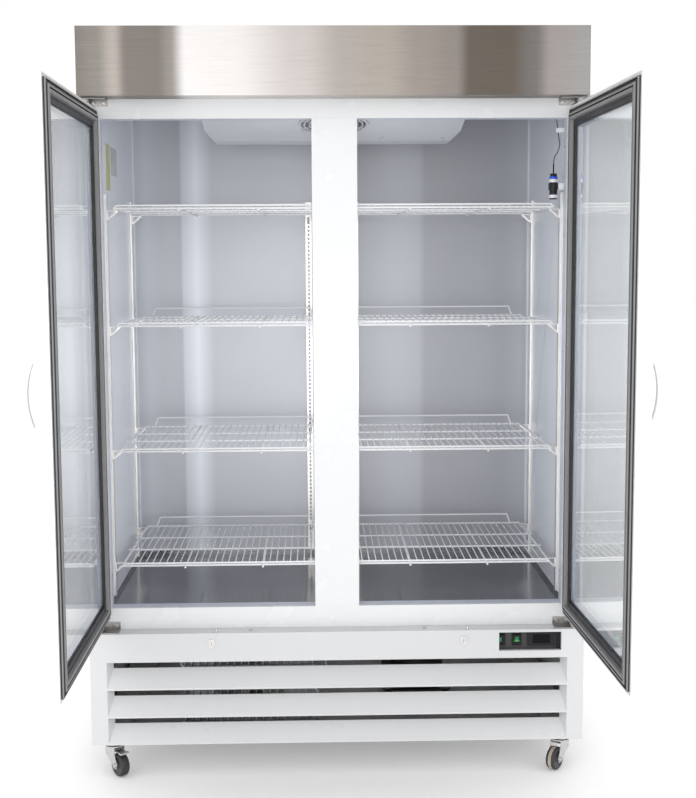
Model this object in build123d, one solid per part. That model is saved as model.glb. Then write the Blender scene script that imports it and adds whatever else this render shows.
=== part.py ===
from build123d import *
import math
import os

# Two-door glass merchandiser on casters, doors standing open. Millimetres, +Z up.
# The origin is on the floor, under the middle of the space that the open cabinet takes.
# +X is to the right for a person facing the doors, +Y runs to the back.

# Cabinet
WIDTH = 1372.0
HALF = WIDTH / 2
HEIGHT = 2046.0
SHELL_TOP = 2040.0
BACK = 704.5
FACE = -16.0  # front of the frame round the openings
FRONT = -65.5  # front of the base panel, and of the closed doors
HEADER_FRONT = -93.0
HEADER_BOTTOM = 1867.0
CHEEK = 11.0  # white cheek at each end of the header
BASE_BOTTOM = 95.0
BASE_TOP = 412.0
SHEET = 1.2
SKIN = HALF - SHEET  # inner face of the cabinet's side sheets

# Cold space
OPENING_HALF = 631.0
SILL_TOP = 472.0
RAIL_BOTTOM = 1815.5
LINER_HALF = 636.0
LINER_BACK = 643.5
LINER_SHEET = 1.0
CEILING = 1985.0
FLOOR_TOP = 470.0
FRONT_WALL = 28.0  # foam side of the liner's wall above the doors
MULLION_HALF = 61.4
MULLION_DEPTH = 26.0
FRAME_SHEET = 1.5

# Doors, measured from the hinged edge and from the front face of the closed door
DOOR_WIDTH = 683.0
DOOR_THICK = 37.0
DOOR_BOTTOM = 438.0
DOOR_TOP = 1845.0
PIVOT_IN = 27.0
PIVOT_BACK = 17.0
DOOR_BORDER = 55.0
DOOR_WALL = 2.0
GLASS_LAP = 8.0
PANE = 4.0
GLASS_FRONT = 8.0
GLASS_UNIT = 24.0
GASKET_EDGE = 10.0
GASKET_STEP = 23.0
GASKET_INNER = 40.0
GASKET_LOW = 7.0
GASKET_THICK = 11.8
LEFT_OPEN = 90.0
RIGHT_OPEN = 91.8
HANDLE_HALF = 118.0
HANDLE_REACH = 38.0
HANDLE_GAP = 24.0
HANDLE_WIDE = 14.0
HANDLE_IN = 47.0

# Shelves
SHELF_LEVELS = (583.0, 907.5, 1257.5, 1579.0)
SHELF_OUT = 614.0
SHELF_IN = 20.0
SHELF_FRONT = 15.0
SHELF_BACK = 572.0
RIM_R = 3.0
DECK_R = 1.5
DECK_PITCH = 19.5
LIP_RISE = 15.0
UPSTAND_RISE = 37.0
UPSTAND_IN = 43.0
CLIP_GAP = 0.3

# Pilasters
PILASTER_WIDE = 20.0
PILASTER_DEEP = 6.0
PILASTER_FOOT = 484.5
PILASTER_TOP = 1620.0
SLOT_PITCH = 12.7
SIDE_PILASTERS = (84.0, 568.0)
BACK_PILASTER_X = 75.0

# Controls
LOCK_X = 350.0
LOCK_Z = 382.6
BOLT_OFFSET = 12.0
BOLT_Y = -44.0
BOLT_R = 4.0
WINDOW = (449.0, 623.0, 352.0, 404.0)
PLATE_FRONT = -43.0
ROCKER_X = (455.5, 501.2)
ROCKER_Z = 379.5
ROCKER_TILT = 8.0
CONTROLLER = (530.0, 609.4, 360.0, 397.0)
BUTTON_X = (538.8, 600.6)
BUTTON_Z = (387.7, 375.9)
BUTTON_R = 3.1

# Casters
WHEEL_R = 32.5
WHEEL_WIDE = 26.0
TRAIL = 30.0
CASTER_X = 630.0
CASTER_FRONT = -22.0
CASTER_REAR = 640.0
AXLE_R = 4.0
BRAKE_IN = 14.0
BRAKE_Z = -25.0
CASTERS = {
    "front_left": (-CASTER_X, CASTER_FRONT, -52.0),
    "front_right": (CASTER_X, CASTER_FRONT, -128.0),
    "rear_left": (-CASTER_X, CASTER_REAR, 65.0),
    "rear_right": (CASTER_X, CASTER_REAR, 110.0),
}

# Temperature probe on the right wall
PROBE_X = 606.0
PROBE_Y = 48.0
BOTTLE_R = 11.0
BOTTLE_BOTTOM = 1600.0
BOTTLE_TOP = 1670.0
CABLE_R = 1.6
CABLE_POINTS = [
    (612.0, 62.0, 1984.5),
    (612.6, 63.4, 1940.0),
    (615.6, 61.6, 1894.0),
    (613.4, 64.6, 1848.0),
    (617.2, 61.0, 1806.0),
    (620.4, 59.6, 1776.0),
    (625.2, 56.4, 1750.0),
    (617.0, 52.6, 1726.0),
    (607.4, 49.0, 1716.0),
    (PROBE_X, PROBE_Y, 1698.5),
]

# Evaporator under the ceiling
COVER_HALF = 366.0
COVER_FRONT = 29.2
COVER_BACK = 420.0
COVER_LOW = 1783.0
COVER_KNEE = 300.0
COVER_SLOPE = 10.9
COVER_WALL = 2.0
FAN_Y = 130.0
FAN_R = 98.0

# Condensing unit
CONDENSER = (-430.0, -70.0, -20.0, 40.0, 115.0, 375.0)
COMPRESSOR = (250.0, 380.0)
LINE_X = 305.0


def block(x0, x1, y0, y1, z0, z1):
    """A box between two opposite corners."""
    middle = Pos((x0 + x1) / 2, (y0 + y1) / 2, (z0 + z1) / 2)
    return middle * Box(x1 - x0, y1 - y0, z1 - z0)


def rod(start, end, radius):
    """A round bar from one point to another."""
    run = Vector(*end) - Vector(*start)
    return Solid.make_cylinder(radius, run.length, Plane(origin=start, z_dir=run))


def prism(plane, points, depth):
    """A straight-sided outline on a plane, drawn out both ways to a depth."""
    return extrude(plane * make_face(Polyline(*points, close=True)), depth / 2, both=True)


def mirrored(shape):
    """The same shape on the other side of the cabinet's middle."""
    return shape.mirror(Plane.YZ)


def save(name, *shapes):
    """One sub-part, as a group of its separate solids."""
    solids = [solid for shape in shapes for solid in shape.solids()]
    export_step(Compound(solids), f"parts/{name}.step")


# ---------------------------------------------------------------- cabinet


def outer_shell():
    side = block(SKIN, HALF, FACE, BACK, BASE_BOTTOM, SHELL_TOP)
    cheek = block(HALF - CHEEK, HALF, HEADER_FRONT, FACE, HEADER_BOTTOM, HEIGHT)
    back = block(-SKIN, SKIN, BACK - SHEET, BACK, BASE_TOP, SHELL_TOP)
    top = block(-SKIN, SKIN, FACE, BACK - SHEET, SHELL_TOP - SHEET, SHELL_TOP)
    under = block(-SKIN, SKIN, FACE + FRAME_SHEET, BACK - SHEET, BASE_TOP, BASE_TOP + SHEET)
    under -= line_channel(BASE_TOP - 1, BASE_TOP + 2)
    return [side, mirrored(side), cheek, mirrored(cheek), back, top, under]


def line_channel(z0, z1):
    """Upright groove at the back of the foam, where the copper lines run."""
    return block(LINE_X - 15, LINE_X + 15, BACK - 25, BACK - SHEET, z0, z1)


def line_hole(y0, y1):
    """Hole from the cold space to the groove."""
    return block(LINE_X - 14, LINE_X + 12, y0, y1, 1890, 1914)


def insulation():
    low = BASE_TOP + SHEET
    high = SHELL_TOP - SHEET
    front = FACE + FRAME_SHEET
    inner = LINER_HALF + LINER_SHEET
    back = LINER_BACK + LINER_SHEET
    side = block(inner, SKIN, front, BACK - SHEET, low, high)
    rear = block(-inner, inner, back, BACK - SHEET, low, high)
    rear = rear - line_channel(low, 1914) - line_hole(back, BACK - 20)
    floor = block(-inner, inner, front, back, low, FLOOR_TOP - SHEET)
    roof = block(-inner, inner, front, back, CEILING + LINER_SHEET, high)
    brow = block(-LINER_HALF, LINER_HALF, front, FRONT_WALL, 1829, CEILING + LINER_SHEET)
    return [side, mirrored(side), rear, floor, roof, brow]


def inner_liner():
    outer = LINER_HALF + LINER_SHEET
    back = LINER_BACK + LINER_SHEET
    side = block(LINER_HALF, outer, FACE + FRAME_SHEET, back, FLOOR_TOP, CEILING)
    rear = block(-LINER_HALF, LINER_HALF, LINER_BACK, back, FLOOR_TOP, CEILING)
    rear -= line_hole(LINER_BACK, back)
    roof = block(-outer, outer, FRONT_WALL, back, CEILING, CEILING + LINER_SHEET)
    brow = block(-LINER_HALF, LINER_HALF, FRONT_WALL, FRONT_WALL + LINER_SHEET, 1829, CEILING)
    return [side, mirrored(side), rear, roof, brow]


def floor_pan():
    """Flat pan with its side and back edges turned up inside the liner."""
    edge = LINER_HALF - 0.1
    rear = LINER_BACK - 0.1
    pan = block(-edge, edge, FACE + FRAME_SHEET, rear, FLOOR_TOP - SHEET, FLOOR_TOP)
    side = block(edge - SHEET, edge, 30, rear, FLOOR_TOP, FLOOR_TOP + 14)
    return pan + side + mirrored(side) + block(-edge, edge, rear - SHEET, rear, FLOOR_TOP, FLOOR_TOP + 14)


def front_frame():
    """White sheet round both openings, turned in at the openings' edges."""
    sheet = block(-SKIN, SKIN, FACE, FACE + FRAME_SHEET, BASE_TOP, SHELL_TOP - SHEET)
    out = FRAME_SHEET
    turn = block(
        -OPENING_HALF - out,
        OPENING_HALF + out,
        FACE,
        FACE + 12,
        SILL_TOP - out,
        RAIL_BOTTOM + out,
    )
    hole = block(-OPENING_HALF, OPENING_HALF, FACE - 1, FACE + 13, SILL_TOP, RAIL_BOTTOM)
    return sheet + turn - hole


def mullion():
    """Upright box section between the two openings."""
    back = FACE + MULLION_DEPTH
    post = block(-MULLION_HALF, MULLION_HALF, FACE, back, SILL_TOP, RAIL_BOTTOM)
    wall = FRAME_SHEET
    inside = block(
        -MULLION_HALF + wall,
        MULLION_HALF - wall,
        FACE + wall,
        back - wall,
        SILL_TOP,
        RAIL_BOTTOM,
    )
    return post - inside


def breaker_strips():
    """Plastic strips from the frame's turned edge to the liner."""
    y0 = FACE + 12
    y1 = 30.0
    side = block(OPENING_HALF, LINER_HALF - 0.2, y0, y1, SILL_TOP, RAIL_BOTTOM)
    low = block(-OPENING_HALF, OPENING_HALF, y0, y1, FLOOR_TOP, SILL_TOP)
    high = block(-OPENING_HALF, OPENING_HALF, y0, y1 + 1, RAIL_BOTTOM, 1829)
    return [side, mirrored(side), low, high]


def header_panel():
    """Brushed sheet folded back along its top and bottom edges."""
    edge = HALF - CHEEK
    front = block(-edge, edge, HEADER_FRONT, HEADER_FRONT + SHEET, HEADER_BOTTOM, HEIGHT)
    low = block(-edge, edge, HEADER_FRONT, FACE, HEADER_BOTTOM, HEADER_BOTTOM + SHEET)
    high = block(-edge, edge, HEADER_FRONT, FACE, HEIGHT - SHEET, HEIGHT)
    return front + low + high


# ------------------------------------------------------------------- base

LOUVRES = ((99.0, 172.0), (177.0, 251.5), (257.0, 331.0))
LOUVRE_HALF = 640.0
LOUVRE_IN = 15.0
LOUVRE_DEEP = 30.0
LOUVRE_DROP = 24.0


def louvre_recess(low, high, grow):
    """Hopper behind one louvre: open at the front, closing to a slot at the back."""
    front = Plane(origin=(0, FRONT, 0), x_dir=(1, 0, 0), z_dir=(0, -1, 0))
    rear = front.offset(-LOUVRE_DEEP)
    wide = 2 * (LOUVRE_HALF + grow)
    narrow = wide - 2 * LOUVRE_IN
    bottom = low - grow
    slot = high - LOUVRE_DROP - grow
    mouth = front * Pos(0, (bottom + high) / 2) * Rectangle(wide, high - bottom)
    throat = rear * Pos(0, (slot + high) / 2) * Rectangle(narrow, high - slot)
    return loft([mouth.face(), throat.face()], ruled=True)


def louvre_panel():
    """White base panel: louvres, control window, lock holes and turned edges."""
    panel = block(-HALF, HALF, FRONT, FRONT + SHEET, BASE_BOTTOM, BASE_TOP)
    for low, high in LOUVRES:
        panel -= block(-LOUVRE_HALF, LOUVRE_HALF, FRONT - 1, FRONT + 2, low, high)
    for low, high in LOUVRES:
        panel += louvre_recess(low, high, SHEET) - louvre_recess(low, high, 0)
    side = block(SKIN, HALF, FRONT, FACE, BASE_BOTTOM, BASE_TOP)
    panel += side + mirrored(side)
    panel += block(-SKIN, SKIN, FRONT, FACE, BASE_TOP - SHEET, BASE_TOP)
    panel += block(-SKIN, SKIN, FRONT, FRONT + 24, BASE_BOTTOM, BASE_BOTTOM + SHEET)
    x0, x1, z0, z1 = WINDOW
    panel += block(x0 - SHEET, x1 + SHEET, FRONT, FRONT + 12, z0 - SHEET, z1 + SHEET)
    panel -= block(x0, x1, FRONT - 1, FRONT + 13, z0, z1)
    for x in (-LOCK_X, LOCK_X):
        panel -= rod((x, FRONT - 1, LOCK_Z), (x, FRONT + 3, LOCK_Z), 10.1)
        bolt = x + BOLT_OFFSET
        panel -= rod((bolt, BOLT_Y, BASE_TOP - 2), (bolt, BOLT_Y, BASE_TOP + 1), BOLT_R + 0.6)
        panel -= block(bolt - 28, bolt + 28, FRONT + 1.4, FRONT + 3, BASE_TOP - 2, BASE_TOP + 1)
    return panel


def base_chassis():
    """Machine tray with caster rails, slotted back, condensate pan and cord gland."""
    rear = BACK - 4.7
    tray = block(-SKIN, SKIN, FRONT + 26, rear, BASE_BOTTOM, BASE_BOTTOM + 2)
    rail = block(590, 670, -35, 690, BASE_BOTTOM + 2, 122) - block(592, 668, -36, 691, 97, 120)
    back = block(-SKIN, SKIN, rear, rear + SHEET, BASE_BOTTOM, BASE_TOP)
    back -= [block(x - 4, x + 4, rear - 1, rear + 3, 165, 355) for x in range(-520, 441, 24)]
    gland_at = (560, 180)
    back -= rod((gland_at[0], rear - 1, gland_at[1]), (gland_at[0], rear + 3, gland_at[1]), 10)
    tray = tray + rail + mirrored(rail) + back
    pan = block(-420, -100, 200, 480, 97, 140) - block(-418, -102, 202, 478, 99, 141)
    gland = rod((gland_at[0], rear - 14, gland_at[1]), (gland_at[0], rear + SHEET, gland_at[1]), 10)
    gland += rod((gland_at[0], rear + SHEET, gland_at[1]), (gland_at[0], BACK, gland_at[1]), 15)
    gland -= rod((gland_at[0], rear - 20, gland_at[1]), (gland_at[0], BACK + 1, gland_at[1]), 4)
    return [tray, pan, gland]


def finned_coil(x0, x1, y0, y1, z0, z1, fins, rows):
    """Fin plates on straight tubes, with a bend joining the tubes at the ends."""
    tube_r = 5.0
    middle = (y0 + y1) / 2
    step = (z1 - z0) / rows
    levels = [z0 + step * (row + 0.5) for row in range(rows)]
    plate = block(-0.5, 0.5, y0, y1, z0, z1)
    for level in levels:
        plate -= rod((-2, middle, level), (2, middle, level), tube_r + 0.05)
    pitch = (x1 - x0) / (fins - 1)
    plates = [Pos(x0 + pitch * i, 0, 0) * plate for i in range(fins)]
    ends = (x0 - 12, x1 + 12)
    path = []
    for row, level in enumerate(levels):
        run = ends if row % 2 == 0 else ends[::-1]
        path += [(x, middle, level) for x in run]
    line = FilletPolyline(*path, radius=step * 0.45)
    tube = sweep(Plane(origin=line @ 0, z_dir=line % 0) * Circle(tube_r), path=line)
    return plates + [tube]


def condenser():
    """Coil, its shroud and the fan motor on three arms."""
    x0, x1, y0, y1, z0, z1 = CONDENSER
    x = (x0 + x1) / 2
    z = (z0 + z1) / 2
    shroud = block(x0, x1, y1, y1 + 45, z0, z1) - block(x0 + 2, x1 - 2, y1 - 1, y1 + 43, z0 + 2, z1 - 2)
    shroud -= rod((x, y1 + 40, z), (x, y1 + 50, z), 112)
    motor = rod((x, y1 + 50, z), (x, y1 + 105, z), 32) + rod((x, y1 + 20, z), (x, y1 + 50, z), 4)
    for turn in (90, 210, 330):
        out = Vector(math.cos(math.radians(turn)), 0, math.sin(math.radians(turn)))
        end = Vector(x, y1 + 55, z) + out * 124
        motor += rod((x, y1 + 55, z), tuple(end), 4)
        motor += rod(tuple(end), (end.X, y1 + 45, end.Z), 4)
    return finned_coil(x0, x1, y0, y1 - 2, z0, z1, 19, 8) + [shroud, motor]


def fan_blade(radius, hub_r, bore_r, blades):
    """Hub and pitched blades about +Z, 20 deep, its back face on the XY plane."""
    fan = Solid.make_cylinder(hub_r, 20)
    for turn in range(blades):
        blade = Pos((radius + hub_r) / 2 - 1, 0, 10) * Rot(28, 0, 0)
        blade *= Box(radius - hub_r + 2, radius * 0.42, 1.6)
        fan += Rot(0, 0, 360 / blades * turn) * blade
    trim = Solid.make_cylinder(radius, 40, Plane(origin=(0, 0, -10)))
    return (fan & trim) - Pos(0, 0, -20) * Solid.make_cylinder(bore_r, 60)


def condenser_fan_blade():
    x0, x1, _, y1, z0, z1 = CONDENSER
    place = Plane(
        origin=((x0 + x1) / 2, y1 + 22, (z0 + z1) / 2), x_dir=(1, 0, 0), z_dir=(0, 1, 0)
    )
    return place * fan_blade(104, 24, 4.05, 5)


def compressor():
    """Domed steel can on a foot plate, with its terminal box and line stub."""
    x, y = COMPRESSOR
    can = Pos(x, y, 205) * Cylinder(85, 170)
    can = fillet(can.edges().filter_by(GeomType.CIRCLE), 34)
    can += block(x - 105, x + 105, y - 70, y + 70, 113, 117) & Pos(x, y, 115) * Cylinder(120, 10)
    can += block(x - 106, x - 70, y - 30, y + 30, 170, 240)
    for foot_x in (x - 88, x + 88):
        for foot_y in (y - 52, y + 52):
            can += rod((foot_x, foot_y, 97), (foot_x, foot_y, 113), 11)
    can += block(x - 40, x + 40, y - 40, y + 40, 113, 130)
    return can + rod((x, y + 60, 250), (x, y + 105, 250), 7)


# -------------------------------------------------------------- evaporator


def cover_level(y):
    """Height of the cover's sloping underside at a depth."""
    return COVER_LOW + (COVER_KNEE - y) * math.tan(math.radians(COVER_SLOPE))


def fan_plane():
    """On the sloping underside, facing down and a little forward."""
    tilt = math.radians(COVER_SLOPE)
    return Plane(
        origin=(0, FAN_Y, cover_level(FAN_Y)),
        x_dir=(1, 0, 0),
        z_dir=(0, math.sin(tilt), math.cos(tilt)),
    )


def cover_solid(shrink):
    """The cover's outline, or its hollow when shrunk by the wall."""
    y0 = COVER_FRONT + shrink
    y1 = COVER_BACK - shrink
    points = [
        (y0, CEILING),
        (y0, cover_level(y0) + shrink),
        (COVER_KNEE, COVER_LOW + shrink),
        (y1, COVER_LOW + shrink),
        (y1, CEILING),
    ]
    body = prism(Plane.YZ, points, 2 * (COVER_HALF - shrink))
    return chamfer(body.edges().filter_by(Axis.Y).sort_by(Axis.Z)[:2], 19 - shrink / 2)


def evaporator_cover():
    """Housing under the ceiling, open at the fan and along the top of its back."""
    cover = cover_solid(0) - cover_solid(COVER_WALL)
    cover -= fan_plane() * Cylinder(FAN_R - 0.5, 40)
    return cover - block(-330, 330, COVER_BACK - 5, COVER_BACK + 5, 1810, 1960)


def fan_guard():
    """Ring guard with curved bars, and the motor on its three arms."""
    guard = Solid.make_cylinder(FAN_R, 4) - Solid.make_cylinder(FAN_R - 7, 4)
    guard += Solid.make_cylinder(22, 4)
    for radius in (37, 52, 67, 82):
        guard += Solid.make_cylinder(radius + 2, 4) - Solid.make_cylinder(radius - 2, 4)
    for turn in range(8):
        guard += Rot(0, 0, 45 * turn + 22.5) * block(20, FAN_R - 5, -2, 2, 0, 4)
    guard = Pos(0, 0, -4) * guard
    motor = Pos(0, 0, 74) * Cylinder(26, 44) + Pos(0, 0, 35) * Cylinder(4, 40)
    for turn in range(3):
        arm = block(20, FAN_R - 1, -4, 4, 62, 66) + block(FAN_R - 5, FAN_R - 1, -4, 4, 0, 66)
        motor += Rot(0, 0, 120 * turn + 90) * arm
    return [fan_plane() * guard, fan_plane() * motor]


def evaporator_fan_blade():
    return fan_plane() * Pos(0, 0, 20) * fan_blade(86, 20, 4.05, 5)


def evaporator_coil():
    """Coil behind the fan, with the two copper lines that run down to the machine."""
    pieces = finned_coil(-300, 280, 340, 400, 1805, 1955, 25, 4)
    x, y = COMPRESSOR
    y_down = BACK - 13
    suction = [
        (LINE_X, 412, 1902),
        (LINE_X, y_down, 1902),
        (LINE_X, y_down, 250),
        (x, y_down - 60, 250),
        (x, y + 105, 250),
    ]
    liquid = [
        (LINE_X - 9, 412, 1902),
        (LINE_X - 9, y_down, 1902),
        (LINE_X - 9, y_down, 130),
        (-30, y_down, 130),
        (-30, 60, 130),
    ]
    for route, radius in ((suction, 5.0), (liquid, 3.0)):
        line = FilletPolyline(*route, radius=9)
        pieces.append(sweep(Plane(origin=line @ 0, z_dir=line % 0) * Circle(radius), path=line))
    return pieces


# ------------------------------------------------------------------- doors


def door_place(side, angle):
    """Puts a closed left door, hinged at the left, at its pivot and its open angle."""
    pivot = Pos(-HALF + PIVOT_IN, FRONT + PIVOT_BACK, 0)
    opened = pivot * Rot(0, 0, -angle) * Pos(-PIVOT_IN, -PIVOT_BACK, 0)

    def place(shape):
        shape = opened * shape
        return shape if side < 0 else mirrored(shape)

    return place


def door_ring(border, y0, y1, inner):
    """Rectangular ring in the door's own frame, from one border width to another."""
    high = DOOR_TOP - border
    low = DOOR_BOTTOM + border
    ring = block(border, DOOR_WIDTH - border, y0, y1, low, high)
    cut = block(inner, DOOR_WIDTH - inner, y0 - 1, y1 + 1, DOOR_BOTTOM + inner, DOOR_TOP - inner)
    return ring - cut


def door_frame():
    """Hollow frame with a rabbet for the glass, hinge blocks and a lock slot."""
    frame = door_ring(0, 0, DOOR_THICK, DOOR_BORDER)
    hinge_edge = frame.edges().filter_by(Axis.Z).sort_by(Axis.X)[:2].sort_by(Axis.Y)[-1]
    frame = fillet(hinge_edge, 6)
    wall = DOOR_WALL
    lap = DOOR_BORDER - GLASS_LAP
    frame -= door_ring(wall + 5, wall, DOOR_THICK - wall, lap - wall)
    frame -= door_ring(lap, GLASS_FRONT - 0.2, GLASS_FRONT + GLASS_UNIT + 0.2, DOOR_BORDER + 1)
    for z0, z1 in ((DOOR_BOTTOM, DOOR_BOTTOM + 50), (DOOR_TOP - 50, DOOR_TOP)):
        frame += block(PIVOT_IN - 13, PIVOT_IN + 13, 1, DOOR_THICK - 1, z0, z1)
        axis = (PIVOT_IN, PIVOT_BACK)
        frame -= rod((*axis, z0 - 1), (*axis, z1 + 1), 6.06)
    return frame


def lock_slot(side):
    """Slot in the door's lower edge that the lock's bolt rises into."""
    x = -LOCK_X + BOLT_OFFSET if side < 0 else -LOCK_X - BOLT_OFFSET
    along = x + HALF
    deep = BOLT_Y - FRONT
    return block(along - 8, along + 8, deep - 6.5, deep + 6.5, DOOR_BOTTOM - 1, DOOR_BOTTOM + 12)


def door_glass():
    """Two panes with a spacer bar between them."""
    lap = DOOR_BORDER - GLASS_LAP + 0.2
    low = DOOR_BOTTOM + lap
    high = DOOR_TOP - lap
    back = GLASS_FRONT + GLASS_UNIT
    front_pane = block(lap, DOOR_WIDTH - lap, GLASS_FRONT, GLASS_FRONT + PANE, low, high)
    back_pane = block(lap, DOOR_WIDTH - lap, back - PANE, back, low, high)
    spacer = door_ring(lap, GLASS_FRONT + PANE, back - PANE, lap + 13)
    return [front_pane, back_pane, spacer]


def door_gasket():
    """Magnetic gasket: low outer lip, high inner lip, grooves between."""
    y = DOOR_THICK
    seal = door_ring(GASKET_EDGE, y, y + GASKET_LOW, GASKET_INNER)
    seal += door_ring(GASKET_STEP, y, y + GASKET_THICK, GASKET_INNER)
    seal -= door_ring(GASKET_EDGE + 4, y + GASKET_LOW - 2, y + GASKET_LOW + 1, GASKET_EDGE + 6.5)
    return seal - door_ring(GASKET_STEP + 6, y + GASKET_THICK - 3, y + GASKET_THICK + 1, GASKET_STEP + 9)


def door_handle():
    """Arched pull across the door's front, near its free edge."""
    middle = (DOOR_BOTTOM + DOOR_TOP) / 2 - 3
    side = Plane(origin=(DOOR_WIDTH - HANDLE_IN, 0, middle), x_dir=(0, 0, 1), z_dir=(1, 0, 0))

    def bow(half, reach):
        arc = ThreePointArc((-half, 0), (0, reach), (half, 0))
        face = make_face(arc + Line((half, 0), (-half, 0)))
        return extrude(side * face, HANDLE_WIDE / 2, both=True)

    outer = bow(HANDLE_HALF, HANDLE_REACH)
    if outer.bounding_box().min.Y > -HANDLE_REACH / 2:
        raise ValueError("the handle has to stand out from the door's front")
    outer = fillet(outer.edges().filter_by(GeomType.CIRCLE), 3)
    return outer - bow(HANDLE_HALF - 24, HANDLE_GAP)


# ----------------------------------------------------------------- shelves


def right_shelf():
    """Wire deck at height 0, with its raised front lip and its rear upstand."""
    near = SHELF_IN
    far = SHELF_OUT
    y0 = SHELF_FRONT
    y1 = SHELF_BACK
    rim = Pos((far + near) / 2, (y0 + y1) / 2, 0) * RectangleRounded(far - near, y1 - y0, 12)
    wire = rim.wire()
    start = Plane(origin=wire @ 0, z_dir=wire % 0)
    deck = sweep(start * Circle(RIM_R), path=wire)
    for y in (227.0, 386.0):
        deck += rod((near, y, 0), (far, y, 0), 2.5)
    count = int((far - near - 24) / DECK_PITCH)
    first = (far + near) / 2 - DECK_PITCH * count / 2
    for i in range(count + 1):
        x = first + DECK_PITCH * i
        deck += rod((x, y0, 2.2), (x, y1, 2.2), DECK_R)
    lip_y = y0 + 5
    lip = [(near + 11, lip_y, 0), (near + 11, lip_y, LIP_RISE)]
    lip += [(far - 11, lip_y, LIP_RISE), (far - 11, lip_y, 0)]
    lip_path = FilletPolyline(*lip, radius=8)
    raised = sweep(Plane(origin=lip_path @ 0, z_dir=lip_path % 0) * Circle(2.5), path=lip_path)
    stand_y = y1 - 4
    left, right = near + UPSTAND_IN, far - UPSTAND_IN
    stand = [(left, stand_y, RIM_R), (left, stand_y, UPSTAND_RISE)]
    stand += [(right, stand_y, UPSTAND_RISE), (right, stand_y, RIM_R)]
    stand_path = FilletPolyline(*stand, radius=10)
    upstand = sweep(
        Plane(origin=stand_path @ 0, z_dir=stand_path % 0) * Circle(2.5), path=stand_path
    )
    return [deck, raised - deck, upstand - deck]


def pilaster():
    """Slotted channel standing on the floor, its back on the XZ plane, facing -Y."""
    height = PILASTER_TOP - PILASTER_FOOT
    count = int((height - 40) / SLOT_PITCH)
    face = Rectangle(PILASTER_WIDE, height)
    face -= [
        Pos(0, SLOT_PITCH * (i - (count - 1) / 2)) * Rectangle(6, 8) for i in range(count)
    ]
    front = Plane(origin=(0, -PILASTER_DEEP + 1, 0), x_dir=(1, 0, 0), z_dir=(0, -1, 0))
    web = extrude(front * face, 1)
    edge = block(PILASTER_WIDE / 2 - 1, PILASTER_WIDE / 2, -PILASTER_DEEP + 1, 0, -height / 2, height / 2)
    middle = (PILASTER_TOP + PILASTER_FOOT) / 2
    return Pos(0, 0, middle) * (web + edge + mirrored(edge))


def clip(reach):
    """Triangular shelf clip reaching out along -Y from a pilaster's face."""
    outer = [(0, 0), (-reach, 0), (-reach, -4), (-4, -26), (0, -26)]
    inner = [(-3, -3), (-reach + 9, -3), (-3, -20)]
    body = prism(Plane.YZ, outer, 10) - prism(Plane.YZ, inner, 12)
    return body


def shelf_supports():
    """Pilasters on the walls and behind the mullion, with a clip under each shelf corner."""
    gap = 0.1
    strip = pilaster()
    places = []
    for side in (-1, 1):
        for y in SIDE_PILASTERS:
            places.append((Pos(side * (LINER_HALF - gap), y, 0) * Rot(0, 0, -90 * side), 30.0))
        places.append((Pos(side * BACK_PILASTER_X, LINER_BACK - gap, 0), 70.0))
    pieces = [place * strip for place, _ in places]
    post = block(-7, 7, FACE + MULLION_DEPTH, 36, FLOOR_TOP + 3, PILASTER_TOP)
    pieces.append(post - block(-6, 6, 11.5, 34.5, FLOOR_TOP + 3, PILASTER_TOP))
    for side in (-1, 1):
        places.append((Pos(side * 1.1, 26, 0) * Rot(0, 0, 90 * side), 34.0))
    for level in SHELF_LEVELS:
        rest = level - RIM_R - CLIP_GAP
        for place, reach in places:
            pieces.append(place * Pos(0, -PILASTER_DEEP, rest) * clip(reach))
    return pieces


# ---------------------------------------------------------------- hardware


def hinge_bracket(upper):
    """Left bracket: flange on the frame, leaf over or under the door, pin and collar."""
    x0 = -HALF + 1
    x1 = x0 + 79
    flange_z = (1848.0, 1866.0) if upper else (413.0, 434.0)
    leaf_z = (1863.0, 1866.0) if upper else (412.2, 415.2)
    flange = block(x0, x1, FACE - 2.5, FACE, *flange_z)
    leaf = block(x0, x1, FRONT + 3, FACE, *leaf_z)
    bracket = flange + leaf
    axis = (-HALF + PIVOT_IN, FRONT + PIVOT_BACK)
    if upper:
        bracket += rod((*axis, DOOR_TOP - 30), (*axis, leaf_z[0]), 6)
        bracket += rod((*axis, DOOR_TOP + 0.5), (*axis, leaf_z[0]), 9)
    else:
        bracket += rod((*axis, leaf_z[1]), (*axis, DOOR_BOTTOM + 30), 6)
        bracket += rod((*axis, leaf_z[1]), (*axis, DOOR_BOTTOM - 0.5), 9)
    return bracket


def screw_head(point, direction, radius, height):
    """Low domed head with a cross slot."""
    place = Plane(origin=point, z_dir=direction)
    head = Solid.make_cylinder(radius, height)
    head = chamfer(head.edges().filter_by(GeomType.CIRCLE).sort_by(Axis.Z)[-1], height * 0.45)
    deep = height * 0.5
    for wide, tall in ((radius * 1.2, radius * 0.26), (radius * 0.26, radius * 1.2)):
        head -= Pos(0, 0, height) * Box(wide, tall, 2 * deep)
    return place * head


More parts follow.
